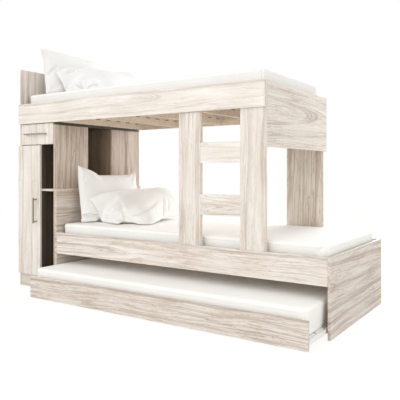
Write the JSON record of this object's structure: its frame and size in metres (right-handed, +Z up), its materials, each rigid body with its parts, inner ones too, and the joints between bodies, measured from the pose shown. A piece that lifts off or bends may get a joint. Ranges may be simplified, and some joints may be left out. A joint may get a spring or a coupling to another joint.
{
  "type": "triple bunk bed",
  "caption": "Bunk bed with an upper bed on a cabinet with door, drawer and niches, a lower bed beside it, a ladder and a trundle bed that rolls out on casters.",
  "frame": {"origin": "on the floor under the middle of the bounding box, trundle as pictured", "axes": "+X from the cabinet end to the foot end, +Y from the front to the back, +Z up"},
  "size_m": [2.2798, 1.0896, 1.7421],
  "materials": {
    "oak_laminate": "pale oak-print laminate, satin",
    "dark_laminate": "dark brown laminate, matte",
    "sawn_wood": "planed softwood, matte",
    "hardboard": "thin brown fibreboard, matte",
    "mattress_cover": "off-white knitted cover",
    "pillow_cotton": "off-white cotton",
    "handle_metal": "grey-brown satin metal",
    "steel": "zinc-plated sheet steel",
    "wheel_nylon": "black nylon"
  },
  "bodies": {
    "bed_frame": {"back_post": "oak_laminate", "bed_side_front_panel": "oak_laminate", "bed_side_rear_panel": "oak_laminate", "cabinet_back": "hardboard", "cabinet_bottom": "dark_laminate", "cabinet_top": "dark_laminate", "compartment_shelf": "dark_laminate", "door_partition": "dark_laminate", "drawer_divider": "dark_laminate", "front_niche_shelf": "oak_laminate", "head_side_panel": "oak_laminate", "left_drawer_channel": "steel", "left_ladder_post": "oak_laminate", "lower_back_pillow": "pillow_cotton", "lower_back_rail": "oak_laminate", "lower_foot_panel": "oak_laminate", "lower_front_pillow": "pillow_cotton", "lower_front_rail": "oak_laminate", "lower_headboard": "oak_laminate", "lower_hinge_arm": "steel", "lower_mattress": "mattress_cover", "lower_rung": "oak_laminate", "lower_slatted_base": "sawn_wood", "niche_front_partition": "dark_laminate", "niche_rear_partition": "dark_laminate", "plinth": "oak_laminate", "right_drawer_channel": "steel", "right_ladder_post": "oak_laminate", "side_niche_floor": "dark_laminate", "upper_back_pillow": "pillow_cotton", "upper_back_rail": "oak_laminate", "upper_foot_panel": "oak_laminate", "upper_front_pillow": "pillow_cotton", "upper_front_rail": "oak_laminate", "upper_hinge_arm": "steel", "upper_mattress": "mattress_cover", "upper_rung": "oak_laminate", "upper_slatted_base": "sawn_wood"},
    "drawer": {"drawer_front": "oak_laminate", "drawer_left_side": "dark_laminate", "drawer_right_side": "dark_laminate", "drawer_back": "dark_laminate", "drawer_bottom": "hardboard", "drawer_handle": "handle_metal"},
    "door": {"door": "oak_laminate", "door_handle": "handle_metal", "lower_hinge_cup": "steel", "upper_hinge_cup": "steel"},
    "trundle": {"back_left_caster_bracket": "steel", "back_right_caster_bracket": "steel", "front_left_caster_bracket": "steel", "front_right_caster_bracket": "steel", "trundle_back": "oak_laminate", "trundle_front": "oak_laminate", "trundle_mattress": "mattress_cover", "trundle_slatted_base": "sawn_wood"},
    "front_left_wheel": {"front_left_wheel": "wheel_nylon"},
    "front_right_wheel": {"front_right_wheel": "wheel_nylon"},
    "back_left_wheel": {"back_left_wheel": "wheel_nylon"},
    "back_right_wheel": {"back_right_wheel": "wheel_nylon"}
  },
  "joints": [
    {"name": "drawer_slide", "type": "slide", "parent": "bed_frame", "child": "drawer", "axis": [0, -1, 0], "range_m": [0, 0.2]},
    {"name": "door_hinge", "type": "hinge", "parent": "bed_frame", "child": "door", "pos_m": [-1.14, -0.3255, 0.5355], "axis": [0, 0, -1], "range_deg": [0, 105]},
    {"name": "trundle_slide", "type": "slide", "parent": "bed_frame", "child": "trundle", "axis": [0, -1, 0], "range_m": [-0.22, 0.61]},
    {"name": "front_left_wheel_spin", "type": "hinge", "parent": "trundle", "child": "front_left_wheel", "pos_m": [-0.711, -0.455, 0.0129], "axis": [1, 0, 0], "continuous": true},
    {"name": "front_right_wheel_spin", "type": "hinge", "parent": "trundle", "child": "front_right_wheel", "pos_m": [1.073, -0.455, 0.0129], "axis": [1, 0, 0], "continuous": true},
    {"name": "back_left_wheel_spin", "type": "hinge", "parent": "trundle", "child": "back_left_wheel", "pos_m": [-0.711, 0.195, 0.0129], "axis": [1, 0, 0], "continuous": true},
    {"name": "back_right_wheel_spin", "type": "hinge", "parent": "trundle", "child": "back_right_wheel", "pos_m": [1.073, 0.195, 0.0129], "axis": [1, 0, 0], "continuous": true}
  ],
  "couplings": [
    {"joint": "front_left_wheel_spin", "follows": "trundle_slide", "rad_per_m": 77.519},
    {"joint": "front_right_wheel_spin", "follows": "trundle_slide", "rad_per_m": 77.519},
    {"joint": "back_left_wheel_spin", "follows": "trundle_slide", "rad_per_m": 77.519},
    {"joint": "back_right_wheel_spin", "follows": "trundle_slide", "rad_per_m": 77.519}
  ]
}
